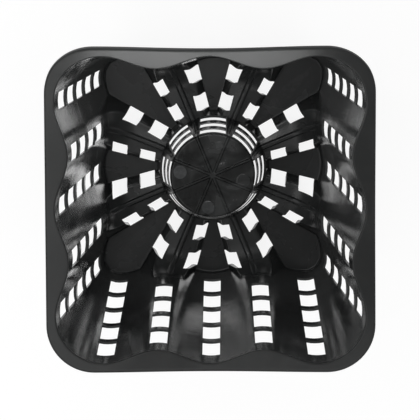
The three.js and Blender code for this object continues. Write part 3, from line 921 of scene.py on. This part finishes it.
effects = {
    "flowStretch": (1, 1, 0.35),
    "patchShare": 0.45,  # strength of the dust's patches beside its specks
    "dustRough": 0.25,
    # detail, roughness and distortion of a noise
    "grain": (3, 0.6),
    "ripple": (2, 0.4, 0.4),
    "streaks": (4, 0.55, 0.8),
    # what a mask is made from: this value to that one becomes this strength to that one
    "flow": (0.35, 0.7, 0, 1),
    "upward": (0.45, 0.98, 0, 1),
    "edge": (0.52, 0.6, 0, 1),
    "spotEdge": (-0.2 * mm, 0.3 * mm, 0, 1),
    # the same after the scale, detail and roughness of a noise
    "patches": (35, 5, 0.6, 0.42, 0.7, 0.15, 1),
    "specks": (900, 2, 0.5, 0.66, 0.76, 0, 1),
    # breaks up the edges' rubbed wear and painted highlight
    "rubAndSheen": (220, 4, 0.6, 0.4, 0.65, 0.2, 1),
    "spot": (260, 3, 0.6, 0.3, 0.7, 0.55, 1),
    # breaks up the painted highlight on the hub bands' edges
    "paintedEdgeShine": (160, 3, 0.6, 0.3, 0.6, 0.35, 1),
}


def makeGroup(name, inputs, build, output="Mask"):
    # inputs: names and start values; build adds the nodes and returns the last output
    group = bpy.data.node_groups.new(name, "ShaderNodeTree")
    for label, value in inputs.items():
        kind = "NodeSocketVector" if isinstance(value, tuple) else "NodeSocketFloat"
        group.interface.new_socket(label, in_out="INPUT", socket_type=kind).default_value = value
    group.interface.new_socket(output, in_out="OUTPUT", socket_type="NodeSocketFloat")
    result = group.nodes.new("NodeGroupOutput").inputs[output]
    group.links.new(build(group, group.nodes.new("NodeGroupInput").outputs), result)
    return group


def setInputs(tree, node, inputs):
    # each input takes a plain value or the output of another node
    for label, value in inputs.items():
        if isinstance(value, bpy.types.NodeSocket):
            tree.links.new(value, node.inputs[label])
        else:
            node.inputs[label].default_value = value


def addNode(tree, kind, inputs=(), **settings):
    node = tree.nodes.new("ShaderNode" + kind)
    for name, setting in settings.items():
        setattr(node, name, setting)
    setInputs(tree, node, dict(inputs))
    return node


def objectPlace(tree):
    return addNode(tree, "TexCoord").outputs["Object"]


def splitVector(tree, vector):
    return addNode(tree, "SeparateXYZ", {"Vector": vector}).outputs


def mathNode(tree, operation, a, b, clamp=False):
    return addNode(tree, "Math", {0: a, 1: b}, operation=operation, use_clamp=clamp).outputs[0]


def mapRange(tree, value, *limits):
    inputs = zip(("Value", "From Min", "From Max", "To Min", "To Max"), (value, *limits))
    return addNode(tree, "MapRange", inputs, interpolation_type="SMOOTHSTEP").outputs["Result"]


def noise(tree, vector, scale, detail, roughness, distortion=0.0):
    inputs = {"Vector": vector, "Scale": scale, "Detail": detail, "Roughness": roughness}
    inputs["Distortion"] = distortion
    return addNode(tree, "TexNoise", inputs).outputs["Fac"]


def times(tree, a, b, clamp=False):
    return mathNode(tree, "MULTIPLY", a, b, clamp)


def cloudMask(tree, key):
    scale, detail, roughness, *limits = effects[key]
    return mapRange(tree, noise(tree, objectPlace(tree), scale, detail, roughness), *limits)


def mouldGrain(group, given):
    # fine eroded texture of the mould, as a height
    place = objectPlace(group)
    fine = noise(group, place, given["Grain Scale"], *effects["grain"])
    ripple = noise(group, place, given["Ripple Scale"], *effects["ripple"])
    return mathNode(group, "ADD", fine, times(group, ripple, given["Ripple"]))


def flowMarks(group, given):
    # broad cloudy streaks left by the melt, stretched along the pot's height
    inputs = {"Vector": objectPlace(group), "Scale": effects["flowStretch"]}
    stretched = addNode(group, "Mapping", inputs).outputs["Vector"]
    cloudy = noise(group, stretched, given["Streak Scale"], *effects["streaks"])
    return mapRange(group, cloudy, *effects["flow"])


def dustFilm(group, given):
    # thin dust on faces that look up, broken into patches and specks
    normal = addNode(group, "NewGeometry").outputs["Normal"]
    upward = mapRange(group, splitVector(group, normal)["Z"], *effects["upward"])
    patches = times(group, cloudMask(group, "patches"), effects["patchShare"])
    both = mathNode(group, "MAXIMUM", patches, cloudMask(group, "specks"))
    return times(group, times(group, upward, both), given["Amount"], True)


def edgeRubAndSheen(group, given):
    # lighter edges, from how sharply the surface turns: rubbed wear, and on the hub a painted
    # highlight
    point = addNode(group, "NewGeometry").outputs["Pointiness"]
    edge = mapRange(group, point, *effects["edge"])
    return times(group, times(group, edge, cloudMask(group, "rubAndSheen")), given["Strength"], True)


def ejectorSpot(group, given):
    # a round dull patch where an ejector pin pressed
    ends = {0: objectPlace(group), 1: given["Centre"]}
    away = addNode(group, "VectorMath", ends, operation="DISTANCE").outputs["Value"]
    inside = mathNode(group, "SUBTRACT", given["Radius"], away)
    inside = mapRange(group, inside, *effects["spotEdge"])
    return times(group, inside, cloudMask(group, "spot"), True)


grainStart = {"Grain Scale": 1800.0, "Ripple Scale": 90.0, "Ripple": 0.5}
spotStart = {"Centre": (0, 0, 0), "Radius": 5 * mm}
groups = {
    "spot": makeGroup("ejectorSpot", spotStart, ejectorSpot),
    "grain": makeGroup("mouldGrain", grainStart, mouldGrain, "Height"),
    "flow": makeGroup("flowMarks", {"Streak Scale": 16.0}, flowMarks),
    "dust": makeGroup("dustFilm", {"Amount": 0.5}, dustFilm),
    "rubAndSheen": makeGroup("edgeRubAndSheen", {"Strength": 1.0}, edgeRubAndSheen),
}
print("shared effects made")


def placeGroup(tree, key, inputs):
    return addNode(tree, "Group", inputs, node_tree=groups[key]).outputs[0]


def mixColor(tree, mask, base, other):
    inputs = {0: mask, 6: base, 7: other}  # the node's sockets for colours
    return addNode(tree, "Mix", inputs, data_type="RGBA").outputs[2]


def blackPlastic(name, look):
    material = bpy.data.materials.new(name)
    material.use_nodes = True
    tree = material.node_tree
    shader = tree.nodes["Principled BSDF"]
    flow = placeGroup(tree, "flow", {"Streak Scale": look["streakScale"]})
    dust = placeGroup(tree, "dust", {"Amount": look["dust"]})
    rubAndSheen = placeGroup(tree, "rubAndSheen", {"Strength": look["rubAndSheen"]})
    colour = mixColor(tree, flow, look["dark"], look["light"])
    colour = mixColor(tree, rubAndSheen, colour, look["rubAndSheenColour"])
    colour = mixColor(tree, dust, colour, look["dustColour"])
    for reach, degrees, radius, _, _, dullness in look["marks"]:
        if dullness:
            centre = (*markCentre(reach, degrees), capBox[1][2])
            dull = placeGroup(tree, "spot", {"Centre": centre, "Radius": radius * mm})
            colour = mixColor(tree, times(tree, dull, dullness), colour, look["spotColour"])
    # painted highlight: light lines along the hub bands' upper edges, for light glinting on them
    # and seen past them
    if "paintedEdgeLight" in look:
        paintedEdgeShine = addNode(tree, "Attribute", attribute_name="paintedEdgeShine").outputs["Fac"]
        paintedEdgeLight = times(tree, paintedEdgeShine, cloudMask(tree, "paintedEdgeShine"), True)
        colour = mixColor(tree, paintedEdgeLight, colour, look["paintedEdgeLight"])
    rough = mapRange(tree, flow, 0, 1, look["smooth"], look["rough"])
    rough = mathNode(tree, "ADD", rough, times(tree, dust, effects["dustRough"]), True)
    grain = {"Grain Scale": look["grainScale"], "Ripple Scale": look["rippleScale"]}
    grain["Ripple"] = look["ripple"]
    bump = {"Strength": look["bump"], "Distance": look["bumpDepth"]}
    bump["Height"] = placeGroup(tree, "grain", grain)
    normal = addNode(tree, "Bump", bump).outputs["Normal"]
    surface = {"Base Color": colour, "Roughness": rough, "IOR": look["ior"], "Normal": normal}
    setInputs(tree, shader, surface)
    return material


plastic = {
    "dark": (0.018, 0.019, 0.019, 1),
    "light": (0.027, 0.0285, 0.0285, 1),
    # lighter edges: rubbed wear, with a little painted highlight
    "rubAndSheenColour": (0.05, 0.052, 0.052, 1),
    "dustColour": (0.10, 0.098, 0.09, 1),
    "spotColour": (0.085, 0.088, 0.09, 1),
    "streakScale": 16.0,
    "dust": 0.12, "rubAndSheen": 0.5,
    "smooth": 0.27, "rough": 0.38, "ior": 1.49,
    "bump": 0.25, "bumpDepth": 0.12 * mm,
    "grainScale": 1500.0, "rippleScale": 85.0, "ripple": 1.2,
    "marks": (),
}
# what each piece's plastic changes of that
looks = {
    "wall": {
        # lighter than the rim's plastic: painted light that lifts the shade inside the pot
        "dark": (0.029, 0.0305, 0.0305, 1),
        "light": (0.048, 0.05, 0.05, 1),
        "smooth": 0.1, "rough": 0.25,
        "ripple": 9.0, "rippleScale": 38.0, "streakScale": 24.0,
    },
    "rim": {"smooth": 0.28, "rough": 0.4, "ripple": 3.0, "streakScale": 12.0},
    "floor": {
        # lighter than the rim's plastic: painted light that lifts the shade inside the pot
        "dark": (0.026, 0.0272, 0.0275, 1),
        "light": (0.037, 0.039, 0.039, 1),
        "smooth": 0.24, "rough": 0.35,
        "ripple": 3.0, "rippleScale": 48.0,
    },
    "hub": {
        "smooth": 0.2, "rough": 0.3,
        # painted highlight: bright glints on the hub's sharp edges
        "rubAndSheen": 1.0,
        "rubAndSheenColour": (0.3, 0.3, 0.3, 1),
        "paintedEdgeLight": (0.8, 0.8, 0.8, 1),  # painted highlight on the bands' upper edges
    },
    "cap": {
        "dark": (0.01, 0.0105, 0.0105, 1),
        "light": (0.042, 0.044, 0.044, 1),
        "smooth": 0.16, "rough": 0.3,
        "ripple": 9.0, "rippleScale": 30.0, "streakScale": 40.0,
        "marks": capShape["marks"],
    },
}
plastics = {name: blackPlastic(name + "Plastic", {**plastic, **looks[name]}) for name in looks}
print("materials made")


# pieces

sides = {"front": "front_right", "right": "back_right", "back": "back_left", "left": "front_left"}
wallFaces, wallKeep = wallGrids()
for quarter, (side, corner) in enumerate(sides.items()):
    bm = newMesh()
    near, far = ([[turn(p, quarter) for p in row] for row in face] for face in wallFaces)
    addShell(bm, near, far, wallKeep, hidden=("first column", "last column", "last row"))
    nodes = ("wall_" + side, "corner_" + corner)
    finishPiece(bm, "pot_wall_" + side, "wall", nodes, finish["wallEdge"])
print("walls built")

bm = newMesh()
buildRim(bm)
finishPiece(bm, "pot_rim", "rim", ("rim_flange",))
print("rim built")

for sector in range(pot["sectors"]):
    bm = newMesh()
    top, bottom, keep = floorSector((sector + 0.5) * 2 * halfSector)
    addShell(bm, top, bottom, keep, hidden=("first row", "last row", "first column", "last column"))
    nodes = (f"floor_petal_{sector + 1}", f"floor_ridge_{sector + 1}")
    finishPiece(bm, f"pot_floor_{sector + 1}", "floor", nodes, finish["floorEdge"])
print("floor built")

bm = newMesh()
buildHub(bm)
finishPiece(bm, "pot_hub", "hub", ("hub_cone",))
bm = newMesh()
buildCap(bm)
finishPiece(bm, "pot_hub_cap", "cap", ("hub_cap",), evenNormals=False)
print("hub built")


# floor of the studio, world and lights

studio = {
    "floorSize": 16,  # metres
    "gapBelowPot": 0.05 * mm,
    "floorGlow": 0.864,  # what the camera sees before lamps add to it
    "floorColour": (0.19, 0.19, 0.19, 1),
    "glowUnderPot": 1.15,  # what gloss sees through the holes, and beyond the pot
    "glowBeyond": 0.15,
    "glowFade": 20 * mm,
    "rightShare": 0.4,
    "skyForCamera": 1.0,
    "skyForLight": 0.62,
    "skyForGloss": (0.3, 0.8, 0.4, 0.17),  # from this height to that one it falls from this to that
}


def cameraSees(tree):
    # 1 for rays from the camera and through glass
    rays = addNode(tree, "LightPath").outputs
    return mathNode(tree, "ADD", rays["Is Camera Ray"], rays["Is Transmission Ray"], True)


def glossSees(tree):
    return addNode(tree, "LightPath").outputs["Is Glossy Ray"]


def groundGlow(tree):
    # what gloss sees of the ground: bright below the pot, less so on its right, duller beyond
    place = splitVector(tree, objectPlace(tree))
    across, along = (mathNode(tree, "ABSOLUTE", place[axis], 0) for axis in "XY")
    reach = mathNode(tree, "MAXIMUM", across, along)
    half, far = pot["floorHalf"], pot["rimHalf"] + studio["glowFade"]
    patch = mapRange(tree, reach, half, far, studio["glowUnderPot"], studio["glowBeyond"])
    side = mapRange(tree, place["X"], -half, half, 1, studio["rightShare"])
    return times(tree, patch, side)


def studioFloor():
    size = studio["floorSize"] / 2
    mesh = bpy.data.meshes.new("studioFloor")
    corners = [(x * size, y * size, 0) for x, y in ((-1, -1), (1, -1), (1, 1), (-1, 1))]
    mesh.from_pydata(corners, [], [(0, 1, 2, 3)])
    ground = addObject("studioFloor", mesh)
    ground.location.z = -studio["gapBelowPot"]
    material = bpy.data.materials.new("paleFloor")
    material.use_nodes = True
    tree = material.node_tree
    tree.nodes.remove(tree.nodes["Principled BSDF"])
    matte = addNode(tree, "BsdfDiffuse", {"Color": studio["floorColour"]})
    seen = times(tree, cameraSees(tree), studio["floorGlow"])
    mirrored = times(tree, glossSees(tree), groundGlow(tree))
    strength = {"Strength": mathNode(tree, "ADD", seen, mirrored)}
    glow = addNode(tree, "Emission", strength)
    both = addNode(tree, "AddShader", {0: matte.outputs[0], 1: glow.outputs[0]})
    tree.links.new(both.outputs[0], tree.nodes["Material Output"].inputs["Surface"])
    ground.data.materials.append(material)


def studioWorld():
    world = bpy.data.worlds.new("studioWorld")
    world.use_nodes = True
    bpy.context.scene.world = world
    tree = world.node_tree
    light = studio["skyForLight"]
    seen = times(tree, cameraSees(tree), studio["skyForCamera"] - light)
    sky = splitVector(tree, addNode(tree, "TexCoord").outputs["Generated"])
    gloss = mapRange(tree, sky["Z"], *studio["skyForGloss"])
    mirrored = times(tree, glossSees(tree), mathNode(tree, "SUBTRACT", gloss, light))
    strength = mathNode(tree, "ADD", mathNode(tree, "ADD", seen, mirrored), light)
    setInputs(tree, tree.nodes["Background"], {"Color": (1, 1, 1, 1), "Strength": strength})


lamps = {  # all look straight down
    "backSoftbox": {"place": (-0.012, 0.12, 0.33), "size": (0.17, 0.05), "watts": 0.115},
    "leftSoftbox": {"place": (-0.47, 0.05, 0.85), "size": (0.7, 0.8), "watts": 1.3},
    "frontSoftbox": {"place": (0, -0.5, 0.9), "size": (0.9, 0.3), "watts": 0.8},
}


def addLamps():
    for name, lamp in lamps.items():
        data = bpy.data.lights.new(name, "AREA")
        data.shape = "RECTANGLE"
        data.size, data.size_y = lamp["size"]
        data.energy = lamp["watts"]
        item = addObject(name, data)
        item.location = lamp["place"]
        item.visible_camera = False


studioFloor()
studioWorld()
addLamps()
bpy.context.scene.view_settings.view_transform = "Standard"
print("studio lit")
